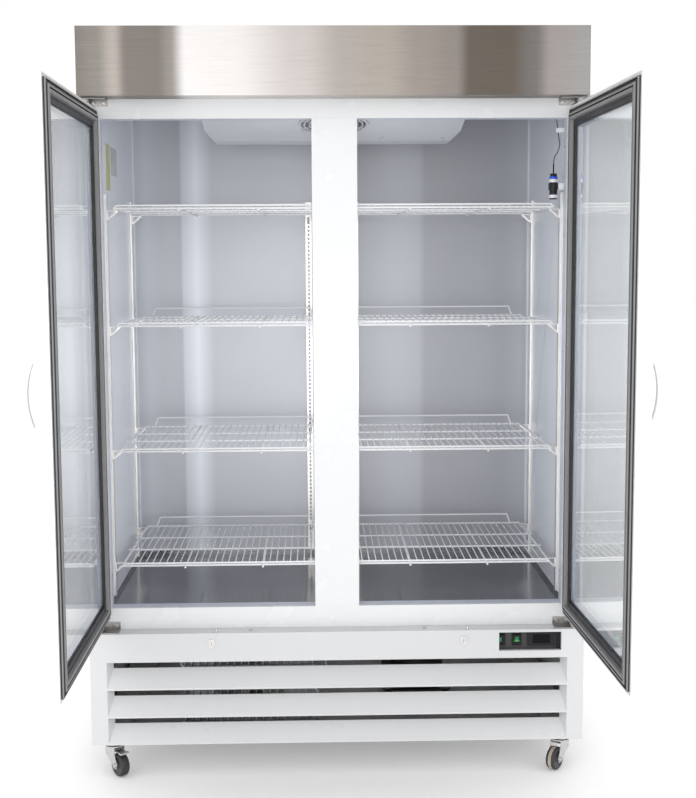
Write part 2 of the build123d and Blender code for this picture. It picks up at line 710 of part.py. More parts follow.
def screws():
    """Hinge, breaker-strip and cover screws, and the white hole caps."""
    pieces = []
    for z in (1856.0, 424.0):
        for x in (-672.0, -645.0, -616.0):
            head = screw_head((x, FACE - 2.5, z), (0, -1, 0), 4.5, 2.4)
            pieces += [head, mirrored(head)]
    for z in (560.0, 840.0, 1180.0, 1500.0, 1740.0):
        head = screw_head((-OPENING_HALF, 14.0, z), (1, 0, 0), 3.2, 1.4)
        pieces += [head, mirrored(head)]
    for x, y in ((-86.0, 196.0), (86.0, 196.0)):
        tilt = math.radians(COVER_SLOPE)
        down = (0, -math.sin(tilt), -math.cos(tilt))
        pieces.append(screw_head((x, y, cover_level(y)), down, 4.0, 2.4))
    for x in (-242.0, 242.0):
        cap = rod((x, -40.0, BASE_TOP), (x, -40.0, BASE_TOP + 4), 5)
        pieces.append(fillet(cap.edges().filter_by(GeomType.CIRCLE).sort_by(Axis.Z)[-1], 1.5))
    return pieces


def lock_housings():
    """Flanged barrels in the base panel, their nuts, and the bolts' guide blocks."""
    pieces = []
    for x in (-LOCK_X, LOCK_X):
        barrel = rod((x, FRONT - 2, LOCK_Z), (x, FRONT, LOCK_Z), 12.5)
        barrel += rod((x, FRONT, LOCK_Z), (x, FRONT + 12.5, LOCK_Z), 10)
        barrel -= rod((x, FRONT - 3, LOCK_Z), (x, FRONT + 14, LOCK_Z), 8.05)
        nut = rod((x, FRONT + SHEET, LOCK_Z), (x, FRONT + 5, LOCK_Z), 14)
        nut -= rod((x, FRONT + SHEET, LOCK_Z), (x, FRONT + 5, LOCK_Z), 10)
        bolt = x + BOLT_OFFSET
        guide = block(bolt - 8, bolt + 8, BOLT_Y - 5.5, BOLT_Y + 6, 398, BASE_TOP - SHEET)
        guide -= rod((bolt, BOLT_Y, 397), (bolt, BOLT_Y, BASE_TOP), BOLT_R + 0.06)
        pieces += [barrel, nut, guide]
    return pieces


def lock_plug(x):
    """Keyed plug with the cam arm on its inner end."""
    plug = rod((x, FRONT - 1.6, LOCK_Z), (x, FRONT + 13, LOCK_Z), 8)
    plug -= block(x - 0.7, x + 0.7, FRONT - 3, FRONT + 6, LOCK_Z - 4.5, LOCK_Z + 4.5)
    arm = block(x - 5, x + 22, FRONT + 13, FRONT + 15, LOCK_Z - 5, LOCK_Z + 5)
    return plug + arm


def lock_bolt(x):
    """Round bolt with a foot for the cam to lift."""
    bolt = x + BOLT_OFFSET
    pin = rod((bolt, BOLT_Y, 360), (bolt, BOLT_Y, 417), BOLT_R)
    return pin + block(bolt - 8, bolt + 8, BOLT_Y - 5.5, BOLT_Y + 4, 360, 368)


# ---------------------------------------------------------------- controls


def control_panel():
    """Recessed plate, controller, switch bezels and end bar."""
    y = PLATE_FRONT
    plate = block(436, 640, y, y + 3, 345, 409)
    x0, x1, z0, z1 = CONTROLLER
    plate -= block(x0 + 4, x1 - 4, y - 1, y + 4, z0 + 2, z1 - 2)
    controller = block(x0, x1, y - 6, y, z0, z1)
    controller = fillet(controller.edges().filter_by(Axis.Y), 3)
    controller += block(x0 + 4.2, x1 - 4.2, y, y + 60, z0 + 2.2, z1 - 2.2)
    controller -= block(545, 594, y - 7, y - 5, 367, 393)
    for bx in BUTTON_X:
        for bz in BUTTON_Z:
            controller -= rod((bx, y - 7, bz), (bx, y - 1.5, bz), BUTTON_R + 0.08)
    pieces = []
    for x in ROCKER_X:
        hole = block(x - 10.2, x + 10.2, y - 4, y + 4, ROCKER_Z - 15.7, ROCKER_Z + 15.7)
        plate -= hole
        bezel = block(x - 13.5, x + 13.5, y - 3, y, ROCKER_Z - 18.5, ROCKER_Z + 18.5)
        pieces.append(chamfer(bezel.edges().group_by(Axis.Y)[0], 0.8) - hole)
    bar = block(614, 628, y - 6, y, 347, 407)
    return [plate, controller, bar] + pieces


def rocker(x):
    """Switch rocker, resting tilted on its pivot."""
    pivot_y = PLATE_FRONT + 5
    body = block(-9.9, 9.9, -9.5, -1, -14.2, 14.2)
    body = fillet(body.edges().filter_by(Axis.X).sort_by(Axis.Y)[:2], 1.0)
    return Pos(x, pivot_y, ROCKER_Z) * Rot(ROCKER_TILT, 0, 0) * body


def button(x, z):
    key = rod((x, PLATE_FRONT - 7.4, z), (x, PLATE_FRONT - 2.3, z), BUTTON_R)
    return fillet(key.edges().filter_by(GeomType.CIRCLE).sort_by(Axis.Y)[0], 0.6)


def probe_bottle():
    """Bottle with its stem, wall bracket, cable clip and ceiling gland."""
    bottle = rod((PROBE_X, PROBE_Y, BOTTLE_BOTTOM), (PROBE_X, PROBE_Y, BOTTLE_TOP - 14), BOTTLE_R)
    bottle = fillet(bottle.edges().filter_by(GeomType.CIRCLE), 1.5)
    bottle += rod((PROBE_X, PROBE_Y, BOTTLE_TOP - 16), (PROBE_X, PROBE_Y, BOTTLE_TOP), 9.5)
    bottle += rod((PROBE_X, PROBE_Y, BOTTLE_TOP), (PROBE_X, PROBE_Y, 1698), 2)
    bracket = rod((PROBE_X, PROBE_Y, 1626), (PROBE_X, PROBE_Y, 1644), BOTTLE_R + 2.5)
    bracket += block(PROBE_X + 10, LINER_HALF - 0.1, PROBE_Y - 5, PROBE_Y + 5, 1626, 1644)
    bracket -= rod((PROBE_X, PROBE_Y, 1620), (PROBE_X, PROBE_Y, 1650), BOTTLE_R + 0.05)
    holder = block(614, LINER_HALF - 0.1, 55, 66, 1783, 1795)
    holder -= rod((619.8, 59.8, 1780), (618.1, 60.6, 1798), 2.8)
    gland = rod((612, 62, 1981), (612, 62, 1985), 6) - rod((612, 62, 1980), (612, 62, 1986), 2.1)
    return [bottle, bracket, holder, gland]


def probe_cable():
    """Lead from the ceiling gland, through its clip, to the probe's stem."""
    points = [Vector(*point) for point in CABLE_POINTS]
    radii = []
    for before, here, after in zip(points, points[1:], points[2:]):
        turn = math.radians((here - before).get_angle(after - here))
        shorter = min((here - before).length, (after - here).length)
        radii.append(0.45 * shorter / math.tan(turn / 2))
    path = FilletPolyline(*points, radius=radii)
    lead = sweep(Plane(origin=path @ 0, z_dir=path % 0) * Circle(CABLE_R), path=path)
    section = math.pi * CABLE_R**2 * path.length
    print("probe cable length", round(path.length, 1), "radii", [round(r) for r in radii])
    print("probe cable volume over section times length", round(lead.volume / section, 4))
    return lead


# ----------------------------------------------------------------- casters


def caster_plate(x, y):
    """Square top plate with the dished race and the kingpin below it."""
    plate = fillet(Box(78, 62, 3).edges().filter_by(Axis.Z), 8)
    plate = Pos(0, 0, -1.5) * plate
    plate += Pos(0, 0, -6.5) * Rot(180, 0, 0) * Cone(34, 27, 7)
    plate += Pos(0, 0, -13) * Cylinder(5, 10)
    plate += Pos(0, 0, -18.5) * Cylinder(8, 2)
    for hole_x in (-31, 31):
        for hole_y in (-22, 22):
            plate -= Pos(hole_x, hole_y, -1.5) * Cylinder(4.2, 4)
    return Pos(x, y, BASE_BOTTOM) * plate


def caster_fork(x, y, angle, braked):
    """Swivel fork: top race, two side plates, rear web, the wheel's axle and any brake pin."""
    inner = WHEEL_WIDE / 2 + 2
    axle_z = WHEEL_R - BASE_BOTTOM
    fork = Pos(0, 0, -12.75) * Cylinder(28, 3.5)
    outline = [
        (-24, -11.5),
        (24, -11.5),
        (27, -34),
        (TRAIL + 11, axle_z + 4),
        (TRAIL + 8, axle_z - 8),
        (TRAIL - 3, axle_z - 11),
        (-8, -48),
        (-24, -40),
    ]
    legs = prism(Plane.XZ, outline, 2 * inner + 5) - prism(Plane.XZ, outline, 2 * inner)
    web = block(-24, -21.5, -inner, inner, -40, -11.5)
    fork += legs + web + block(-24, 24, -inner, inner, -14.5, -11.5)
    fork -= Pos(0, 0, -13) * Cylinder(5.06, 6)
    fork += rod((TRAIL, -inner - 7, axle_z), (TRAIL, inner + 7, axle_z), AXLE_R)
    for end in (-1, 1):
        head = prism(
            Plane.XZ,
            [
                (TRAIL + 7 * math.cos(math.radians(60 * k)), axle_z + 7 * math.sin(math.radians(60 * k)))
                for k in range(6)
            ],
            4,
        )
        fork += Pos(0, end * (inner + 4.5), 0) * head
    if braked:
        fork += rod((BRAKE_IN, -inner - 1, BRAKE_Z), (BRAKE_IN, inner + 1, BRAKE_Z), 2)
    return Pos(x, y, BASE_BOTTOM) * Rot(0, 0, angle) * fork


def caster_wheel(x, y, angle):
    """Hub and rounded tread, with a groove on each side of the tread's middle."""
    half = WHEEL_WIDE / 2
    outline = [
        (AXLE_R + 0.06, -half),
        (12, -half),
        (14, -half + 3),
        (21, -half + 3),
        (24, -half),
        (28, -half),
        (31.5, -half + 4),
        (WHEEL_R, -6),
        (WHEEL_R - 0.8, -5.5),
        (WHEEL_R, -5),
    ]
    outline += [(r, -offset) for r, offset in reversed(outline)]
    profile = make_face(Plane.XZ * Polyline(*outline, close=True))
    wheel = Pos(TRAIL, 0, WHEEL_R - BASE_BOTTOM) * Rot(-90, 0, 0) * revolve(profile, Axis.Z)
    return Pos(x, y, BASE_BOTTOM) * Rot(0, 0, angle) * wheel


def caster_brake(x, y, angle):
    """Pedal between the fork's sides that presses down on the wheel."""
    pedal = block(BRAKE_IN, 56, -12, 12, BRAKE_Z - 1.2, BRAKE_Z + 1.2)
    pedal += block(46, 58, -14, 14, BRAKE_Z - 1.2, BRAKE_Z + 3)
    pedal += rod((BRAKE_IN, -12, BRAKE_Z), (BRAKE_IN, 12, BRAKE_Z), 4)
    pedal -= rod((BRAKE_IN, -13, BRAKE_Z), (BRAKE_IN, 13, BRAKE_Z), 2.06)
    return Pos(x, y, BASE_BOTTOM) * Rot(0, 0, angle) * pedal


# ------------------------------------------------------------------- write

os.makedirs("parts", exist_ok=True)

save("outer_shell", *outer_shell())
save("insulation", *insulation())
save("inner_liner", *inner_liner())
save("floor_pan", floor_pan())
save("front_frame", front_frame())
save("mullion", mullion())
save("breaker_strips", *breaker_strips())
save("header_panel", header_panel())
save("louvre_panel", louvre_panel())
save("base_chassis", *base_chassis())
save("condenser", *condenser())
save("condenser_fan_blade", condenser_fan_blade())
save("compressor", compressor())
save("evaporator_cover", evaporator_cover())
save("fan_guard", *fan_guard())
save("evaporator_fan_blade", evaporator_fan_blade())
save("evaporator_coil", *evaporator_coil())

shelf = right_shelf()
frame = door_frame()
shelves = {"left": [mirrored(piece) for piece in shelf], "right": shelf}
for name, side, angle in (("left", -1, LEFT_OPEN), ("right", 1, RIGHT_OPEN)):
    place = door_place(side, angle)
    save(f"{name}_door_frame", place(frame - lock_slot(side)))
    save(f"{name}_door_glass", *[place(piece) for piece in door_glass()])
    save(f"{name}_door_gasket", place(door_gasket()))
    save(f"{name}_door_handle", place(door_handle()))
    for number, level in enumerate(SHELF_LEVELS, start=1):
        save(f"{name}_shelf_{number}", *[Pos(0, 0, level) * piece for piece in shelves[name]])
    save(f"{name}_lock_plug", lock_plug(side * LOCK_X))
    save(f"{name}_lock_bolt", lock_bolt(side * LOCK_X))

left_brackets = [hinge_bracket(True), hinge_bracket(False)]
save("hinge_brackets", *left_brackets, *[mirrored(bracket) for bracket in left_brackets])
save("shelf_supports", *shelf_supports())
save("screws", *screws())
save("lock_housings", *lock_housings())
save("control_panel", *control_panel())
for name, x in zip(("power", "light"), ROCKER_X):
    save(f"{name}_rocker", rocker(x))
for column, x in zip(("left", "right"), BUTTON_X):
    for row, z in zip(("upper", "lower"), BUTTON_Z):
        save(f"{column}_{row}_button", button(x, z))
save("probe_bottle", *probe_bottle())
save("probe_cable", probe_cable())

save("caster_plates", *[caster_plate(x, y) for x, y, _ in CASTERS.values()])
for name, (x, y, angle) in CASTERS.items():
    save(f"{name}_fork", caster_fork(x, y, angle, name == "front_left"))
    save(f"{name}_wheel", caster_wheel(x, y, angle))
save("front_left_brake", caster_brake(*CASTERS["front_left"]))
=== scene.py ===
import math

import bmesh
import bpy
from mathutils import Matrix, Vector


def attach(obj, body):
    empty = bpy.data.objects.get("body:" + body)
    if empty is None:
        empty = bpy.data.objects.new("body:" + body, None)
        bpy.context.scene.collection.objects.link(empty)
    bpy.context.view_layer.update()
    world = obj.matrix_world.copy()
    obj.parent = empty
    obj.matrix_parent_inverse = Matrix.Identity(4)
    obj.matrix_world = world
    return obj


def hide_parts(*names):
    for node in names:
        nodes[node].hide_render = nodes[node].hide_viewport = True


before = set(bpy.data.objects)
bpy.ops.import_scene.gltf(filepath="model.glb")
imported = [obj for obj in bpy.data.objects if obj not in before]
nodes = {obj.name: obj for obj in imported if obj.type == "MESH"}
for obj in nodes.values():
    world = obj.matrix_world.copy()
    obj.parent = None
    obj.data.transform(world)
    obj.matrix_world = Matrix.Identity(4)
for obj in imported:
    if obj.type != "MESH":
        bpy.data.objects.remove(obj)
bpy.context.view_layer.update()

# All lengths below are millimetres, in the row frame, until a mesh is made.
MM = 0.001
HALF = 686.0
FRONT = -65.5
PIVOT_IN = 27.0
PIVOT_BACK = 17.0
DOOR_WIDTH = 683.0
DOOR_BOTTOM = 438.0
DOOR_TOP = 1845.0
OPENED = {"left": 90.0, "right": 91.8}
SHELF_LEVELS = (583.0, 907.5, 1257.5, 1579.0)
SIDES = {"left": -1, "right": 1}

# ------------------------------------------------------------------ camera

CAMERA_AT = (-53.05, -3552.05, 1444.1)
CAMERA_YAW = math.radians(-1.397)
CAMERA_PITCH = math.radians(6.274)
CAMERA_ROLL = math.radians(-0.312)
LENS = 58.26


def add_camera():
    """A camera in front of the cabinet at chest height, turned a little and looking down a little."""
    data = bpy.data.cameras.new("camera")
    data.lens = LENS
    data.sensor_width = 36.0
    data.clip_start = 0.05
    data.clip_end = 200.0
    forward = Vector(
        (
            -math.sin(CAMERA_YAW) * math.cos(CAMERA_PITCH),
            math.cos(CAMERA_YAW) * math.cos(CAMERA_PITCH),
            -math.sin(CAMERA_PITCH),
        )
    )
    right = Vector((math.cos(CAMERA_YAW), math.sin(CAMERA_YAW), 0))
    up = right.cross(forward)
    x = right * math.cos(CAMERA_ROLL) + up * math.sin(CAMERA_ROLL)
    y = up * math.cos(CAMERA_ROLL) - right * math.sin(CAMERA_ROLL)
    turn = Matrix((x, y, -forward)).transposed().to_4x4()
    camera = bpy.data.objects.new("camera", data)
    camera.matrix_world = Matrix.Translation(Vector(CAMERA_AT) * MM) @ turn
    bpy.context.scene.collection.objects.link(camera)
    bpy.context.scene.camera = camera


add_camera()

# --------------------------------------------------------------- materials

# Nearly all of a noise texture's values lie between these two.
NOISE_LOW = 0.3
NOISE_HIGH = 0.7


class Look:
    """A node material around one Principled shader. Its textures are in metres, in the row frame."""

    def __init__(self, name, color, rough, metal=0.0):
        self.material = bpy.data.materials.new(name)
        self.material.use_nodes = True
        self.tree = self.material.node_tree
        self.shader = self.tree.nodes["Principled BSDF"]
        self.shader.inputs["Base Color"].default_value = (*color, 1)
        self.shader.inputs["Roughness"].default_value = rough
        self.shader.inputs["Metallic"].default_value = metal
        self.color = color
        self.rough = rough
        self.coords = self.tree.nodes.new("ShaderNodeTexCoord").outputs["Object"]
        self.normal = None

    def add(self, kind, **inputs):
        """A new node whose named inputs are set, or linked where the value is a socket."""
        node = self.tree.nodes.new(kind)
        for key, value in inputs.items():
            socket = node.inputs[key.replace("_", " ")]
            if isinstance(value, bpy.types.NodeSocket):
                self.tree.links.new(value, socket)
            else:
                socket.default_value = value
        return node

    def noise(self, scale, detail=3.0, stretch=(1, 1, 1), rough=0.5):
        mapped = self.add("ShaderNodeMapping", Vector=self.coords, Scale=stretch)
        return self.add(
            "ShaderNodeTexNoise",
            Vector=mapped.outputs["Vector"],
            Scale=scale,
            Detail=detail,
            Roughness=rough,
        ).outputs["Fac"]

    def axis(self, name):
        return self.add("ShaderNodeSeparateXYZ", Vector=self.coords).outputs[name]

    def across(self, half):
        """0 at the left end of a piece that is twice half wide, and 1 at its right end."""
        node = self.add("ShaderNodeMapRange", Value=self.axis("X"))
        node.inputs["From Min"].default_value = -half
        node.inputs["From Max"].default_value = half
        return node.outputs["Result"]

    def math(self, operation, *values):
        node = self.tree.nodes.new("ShaderNodeMath")
        node.operation = operation
        for socket, value in zip(node.inputs, values):
            if isinstance(value, bpy.types.NodeSocket):
                self.tree.links.new(value, socket)
            else:
                socket.default_value = value
        return node.outputs["Value"]

    def ramp(self, fac, stops, interpolation="LINEAR"):
        """Colours along fac, from (place, colour) stops."""
        node = self.add("ShaderNodeValToRGB", Fac=fac)
        band = node.color_ramp
        band.interpolation = interpolation
        while len(band.elements) < len(stops):
            band.elements.new(0.5)
        for element, (place, color) in zip(band.elements, stops):
            element.position = place
            element.color = (*color, 1)
        return node.outputs["Color"]

    def multiply(self, first, second):
        """One colour times another."""
        node = self.tree.nodes.new("ShaderNodeMix")
        node.data_type = "RGBA"
        node.blend_type = "MULTIPLY"
        node.inputs["Factor"].default_value = 1.0
        self.tree.links.new(first, node.inputs[6])
        self.tree.links.new(second, node.inputs[7])
        return node.outputs[2]

    def mottle(self, fac, amount):
        """Varies the base colour a little either way."""
        low = tuple(max(0.0, c * (1 - amount)) for c in self.color)
        high = tuple(min(1.0, c * (1 + amount)) for c in self.color)
        self.link(self.ramp(fac, [(NOISE_LOW, low), (NOISE_HIGH, high)]), "Base Color")
        return self

    def vary_rough(self, fac, amount):
        """Varies the roughness a little either way."""
        node = self.add("ShaderNodeMapRange", Value=fac)
        node.inputs["From Min"].default_value = NOISE_LOW
        node.inputs["From Max"].default_value = NOISE_HIGH
        node.inputs["To Min"].default_value = max(0.0, self.rough - amount)
        node.inputs["To Max"].default_value = min(1.0, self.rough + amount)
        self.link(node.outputs["Result"], "Roughness")
        return self

    def bump(self, fac, strength, distance):
        """Fine relief, distance metres high."""
        node = self.add("ShaderNodeBump", Strength=strength, Distance=distance, Height=fac)
        if self.normal is not None:
            self.tree.links.new(self.normal, node.inputs["Normal"])
        self.normal = node.outputs["Normal"]
        self.link(self.normal, "Normal")
        return self

    def link(self, output, name):
        self.tree.links.new(output, self.shader.inputs[name])

    def set(self, **inputs):
        for key, value in inputs.items():
            self.shader.inputs[key.replace("_", " ")].default_value = value
        return self


def enamel(name, color, rough, peel=0.25):
    """Baked paint: faint orange peel and uneven gloss."""
    look = Look(name, color, rough)
    look.mottle(look.noise(3.0, 4.0), 0.004)
    look.vary_rough(look.noise(9.0), 0.03)
    look.bump(look.noise(650.0, 2.0), peel, 0.00006)
    return look.set(Specular_IOR_Level=0.5).material


def metal(name, color, rough, grain=(1, 1, 1), scale=120.0, mottle=0.06, strength=0.25):
    """Bare metal with a drawn or cast grain."""
    look = Look(name, color, rough, 1.0)
    look.mottle(look.noise(scale, 4.0, grain), mottle)
    look.vary_rough(look.noise(scale * 2, 3.0, grain), 0.08)
    look.bump(look.noise(scale * 4, 2.0, grain), strength, 0.00008)
    return look.material


def moulded(name, color, rough, scale=900.0, strength=0.3, mottle=0.04):
    """Moulded plastic or rubber with a fine skin."""
    look = Look(name, color, rough)
    look.mottle(look.noise(25.0, 4.0), mottle)
    look.vary_rough(look.noise(60.0), 0.06)
    look.bump(look.noise(scale, 2.0), strength, 0.0001)
    return look.material


HEADER_HALF = 0.675


def header_steel():
    """Brushed fascia: warm grain along its length, and broad soft bands across it that are painted
    reflections.
    """
    look = Look("brushed_header", (0.5, 0.47, 0.44), 0.34, 1.0)
    sway = look.math("MULTIPLY_ADD", look.noise(1.6, 2.0), 0.022, -0.011)
    moved = look.math("ADD", look.across(HEADER_HALF), sway)
    # Painted reflections: light and dark upright bands across the fascia, their edges wavered by the
    # noise above.
    stops = [
        (0.0, (0.19, 0.172, 0.158)),
        (0.04, (0.225, 0.206, 0.193)),
        (0.075, (0.37, 0.335, 0.305)),
        (0.1, (0.19, 0.17, 0.158)),
        (0.16, (0.19, 0.17, 0.155)),
        (0.185, (0.26, 0.24, 0.225)),
        (0.215, (0.72, 0.7, 0.69)),
        (0.3, (0.73, 0.7, 0.68)),
        (0.435, (0.55, 0.51, 0.49)),
        (0.52, (0.41, 0.37, 0.345)),
        (0.6, (0.39, 0.355, 0.315)),
        (0.67, (0.31, 0.275, 0.25)),
        (0.735, (0.265, 0.235, 0.215)),
        (0.765, (0.135, 0.115, 0.097)),
        (0.84, (0.13, 0.11, 0.092)),
        (0.89, (0.17, 0.158, 0.148)),
        (0.925, (0.31, 0.28, 0.265)),
        (1.0, (0.31, 0.3, 0.3)),
    ]
    painted_light_bands = look.ramp(moved, stops, "EASE")
    lines = look.noise(700.0, 4.0, (0.012, 1, 1))
    grain = look.ramp(lines, [(NOISE_LOW, (0.9, 0.9, 0.9)), (NOISE_HIGH, (1, 1, 1))])
    look.link(look.multiply(painted_light_bands, grain), "Base Color")
    look.vary_rough(look.noise(500.0, 3.0, (0.02, 1, 1)), 0.07)
    look.bump(look.noise(1400.0, 2.0, (0.01, 1, 1)), 0.18, 0.00005)
    return look.set(Anisotropic=0.6).material


LINER_HALF = 0.64
# Shades of the left and right side walls, painted paler than the back: painted light.
SIDE_WALL_PAINTED_LIGHT = (1.0, 0.95)
# Gain on the back wall's painted reflections and shade.
REFLECTION_BAND_GAIN = 1.3
BAND_TINT = (0.955, 0.985, 1.055)


def liner_metal():
    """Coated sheet inside the cabinet: side walls made paler as painted light, and soft upright bands
    of painted reflection and shade over the back.
    """
    look = Look("liner_sheet", (0.6, 0.62, 0.66), 0.3, 0.1)
    # Painted reflections and shade on the back wall: (place across the liner, shade) stops.
    back = [
        (0.008, 0.47),
        (0.035, 0.52),
        (0.07, 0.46),
        (0.12, 0.42),
        (0.125, 0.55),
        (0.16, 0.73),
        (0.2, 0.492),
        (0.5, 0.485),
        (0.53, 0.33),
        (0.6, 0.39),
        (0.645, 0.43),
        (0.68, 0.438),
        (0.72, 0.423),
        (0.735, 0.345),
        (0.93, 0.34),
        (0.985, 0.4),
        (0.992, 0.4),
    ]
    left, right = SIDE_WALL_PAINTED_LIGHT
    shades = [(0.0, left), (0.006, left)]
    shades += [(place, REFLECTION_BAND_GAIN * shade) for place, shade in back]
    shades += [(0.994, right), (1.0, right)]
    stops = [(place, tuple(tint * shade for tint in BAND_TINT)) for place, shade in shades]
    painted_light_bands = look.ramp(look.across(LINER_HALF), stops)
    clouds = look.noise(1.3, 2.0, (1, 1, 0.35))
    patch = look.ramp(clouds, [(NOISE_LOW, (0.93, 0.93, 0.93)), (NOISE_HIGH, (1, 1, 1))])
    look.link(look.multiply(painted_light_bands, patch), "Base Color")
    look.vary_rough(look.noise(5.0, 1.0), 0.02)
    look.bump(look.noise(420.0, 2.0), 0.2, 0.00006)
    return look.material


def pan_steel():
    """Polished floor sheet with fine cross scratches."""
    look = Look("floor_sheet", (0.27, 0.275, 0.29), 0.16, 1.0)
    look.mottle(look.noise(4.0, 3.0), 0.1)
    look.vary_rough(look.noise(240.0, 3.0, (0.05, 1, 1)), 0.06)
    look.bump(look.noise(800.0, 2.0, (0.03, 1, 1)), 0.12, 0.00005)
    return look.material


def door_glass():
    """Clear pane with the faintest unevenness."""
    look = Look("pane_glass", (0.965, 0.98, 0.985), 0.015)
    look.mottle(look.noise(3.0), 0.004)
    look.bump(look.noise(2.2, 1.0), 0.03, 0.0002)
    return look.set(Transmission_Weight=1.0, IOR=1.5).material


def probe_shell():
    """Black bottle and ring, with a pale arm beside the ring and a pale clip above the cap."""
    look = Look("probe_shell", (0.018, 0.018, 0.02), 0.38)
    beside = look.math("GREATER_THAN", look.axis("X"), 0.6188)
    above = look.math("GREATER_THAN", look.axis("Z"), 1.71)
    either = look.math("MAXIMUM", beside, above)
    shades = [(0.0, (0.0187, 0.0187, 0.0208)), (0.5, (0.853, 0.863, 0.884))]
    clouds = [(NOISE_LOW, (0.92, 0.92, 0.92)), (NOISE_HIGH, (1, 1, 1))]
    shell = look.ramp(either, shades, "CONSTANT")
    look.link(look.multiply(shell, look.ramp(look.noise(25.0, 4.0), clouds)), "Base Color")
    look.vary_rough(look.noise(60.0), 0.06)
    look.bump(look.noise(900.0, 2.0), 0.3, 0.0001)
    return look.set(Specular_IOR_Level=0.3).material


def lamp(name, color, glow):
    """A coloured lens with a faint light behind it."""
    look = Look(name, color, 0.3)
    look.mottle(look.noise(300.0), 0.12)
    look.set(Emission_Strength=glow)
    look.shader.inputs["Emission Color"].default_value = (*color, 1)
    return look.material


WHITE = enamel("white_enamel", (0.86, 0.865, 0.875), 0.3)
PANEL_WHITE = enamel("panel_enamel", (0.69, 0.695, 0.705), 0.3)
FRAME_WHITE = enamel("frame_enamel", (0.84, 0.85, 0.865), 0.26)
WIRE = enamel("wire_coating", (0.88, 0.89, 0.905), 0.25, 0.15)
HEADER = header_steel()
LINER = liner_metal()
COVER = enamel("cover_enamel", (0.66, 0.68, 0.72), 0.3)
FLOOR_SHEET = pan_steel()
STRIP = moulded("strip_plastic", (0.62, 0.65, 0.74), 0.42)
GLASS = door_glass()
# Grey for the gasket's tops: the rubber's own dark colour, lightened as painted sheen.
GASKET_RUBBER_AND_SHEEN = moulded("gasket_rubber", (0.24, 0.238, 0.242), 0.42, 500.0)
# Black for the gasket's walls, as painted shade, and for the glazing bead.
BLACK_RUBBER_AND_SHADE = moulded("gasket_black_and_shade", (0.018, 0.018, 0.02), 0.45, 500.0)
SPACER = metal("spacer_metal", (0.72, 0.76, 0.84), 0.4, (1, 1, 1), 300.0)
HANDLE = moulded("handle_plastic", (0.84, 0.85, 0.87), 0.22, 700.0, 0.15, 0.01)
ZINC = metal("zinc_plate", (0.6, 0.6, 0.59), 0.27, (1, 1, 1), 180.0, 0.1)
BRACKET = metal("bracket_steel", (0.36, 0.35, 0.34), 0.3, (1, 1, 1), 180.0, 0.15)
CHROME = metal("chrome_plate", (0.72, 0.71, 0.7), 0.16, (1, 1, 1), 90.0, 0.05, 0.1)
STRIP_METAL = metal("pilaster_metal", (0.86, 0.84, 0.81), 0.34, (1, 1, 0.05), 400.0, 0.08)
BLACK = moulded("black_plastic", (0.018, 0.018, 0.02), 0.38)
PLATE = enamel("plate_paint", (0.07, 0.07, 0.073), 0.4)
CONTROLLER = moulded("controller_plastic", (0.025, 0.025, 0.027), 0.42)
DISPLAY = moulded("display_window", (0.008, 0.008, 0.01), 0.08, 200.0, 0.05)
GREEN = lamp("green_lens", (0.0, 0.22, 0.055), 0.35)
AMBER = lamp("amber_lens", (0.75, 0.55, 0.12), 0.3)
TREAD = moulded("tread_rubber", (0.032, 0.031, 0.031), 0.55, 350.0, 0.6, 0.25)
BAND = moulded("tread_band", (0.42, 0.37, 0.31), 0.6, 350.0, 0.6, 0.2)
HUB = moulded("hub_plastic", (0.05, 0.05, 0.052), 0.4)
FOAM = moulded("rigid_foam", (0.72, 0.62, 0.4), 0.9, 250.0, 1.0, 0.12)
GREY_PAINT = enamel("chassis_paint", (0.5, 0.5, 0.505), 0.5, 0.5)
CAN_PAINT = enamel("compressor_paint", (0.02, 0.02, 0.022), 0.35, 0.6)
FINS = metal("fin_metal", (0.55, 0.56, 0.57), 0.4, (1, 1, 0.05), 500.0)
GUARD = enamel("guard_enamel", (0.6, 0.62, 0.65), 0.35)
CABLE = moulded("cable_sheath", (0.09, 0.09, 0.095), 0.45, 1500.0, 0.4)
PROBE = probe_shell()
BOTTLE_WHITE = moulded("band_white", (0.82, 0.83, 0.85), 0.35)
BOTTLE_BLUE = moulded("label_blue", (0.02, 0.09, 0.72), 0.35)
LABEL_GREEN = moulded("label_green", (0.58, 0.63, 0.33), 0.5, 300.0, 0.2, 0.1)
LABEL_GREY = moulded("label_grey", (0.62, 0.65, 0.66), 0.5, 300.0, 0.2, 0.08)

# Dark pieces that reflect less of the room than plain plastic does.
LOW_GLOSS = {PLATE: 0.2, CONTROLLER: 0.15, DISPLAY: 0.08, BLACK: 0.2}
for material, level in LOW_GLOSS.items():
    shader = material.node_tree.nodes["Principled BSDF"]
    shader.inputs["Specular IOR Level"].default_value = level

CAD_LOOKS = {
    WHITE: ["outer_shell"],
    PANEL_WHITE: ["louvre_panel"],
    FRAME_WHITE: ["front_frame", "mullion", "left_door_frame", "right_door_frame"],
    HEADER: ["header_panel"],
    LINER: ["inner_liner"],
    COVER: ["evaporator_cover"],
    FLOOR_SHEET: ["floor_pan"],
    STRIP: ["breaker_strips"],
    FOAM: ["insulation"],
    GREY_PAINT: ["base_chassis"],
    CAN_PAINT: ["compressor"],
    FINS: ["condenser", "evaporator_coil", "condenser_fan_blade"],
    BLACK: ["evaporator_fan_blade", "power_rocker", "light_rocker"],
    PROBE: ["probe_bottle"],
    PLATE: ["control_panel"],
    GUARD: ["fan_guard"],
    STRIP_METAL: ["shelf_supports"],
    ZINC: [
        "screws",
        "caster_plates",
        "front_left_brake",
        "left_lock_bolt",
        "right_lock_bolt",
    ],
    BRACKET: ["hinge_brackets"],
    CHROME: ["lock_housings", "left_lock_plug", "right_lock_plug"],
    HANDLE: ["left_door_handle", "right_door_handle"],
    CONTROLLER: [f"{side}_{row}_button" for side in SIDES for row in ("upper", "lower")],
}
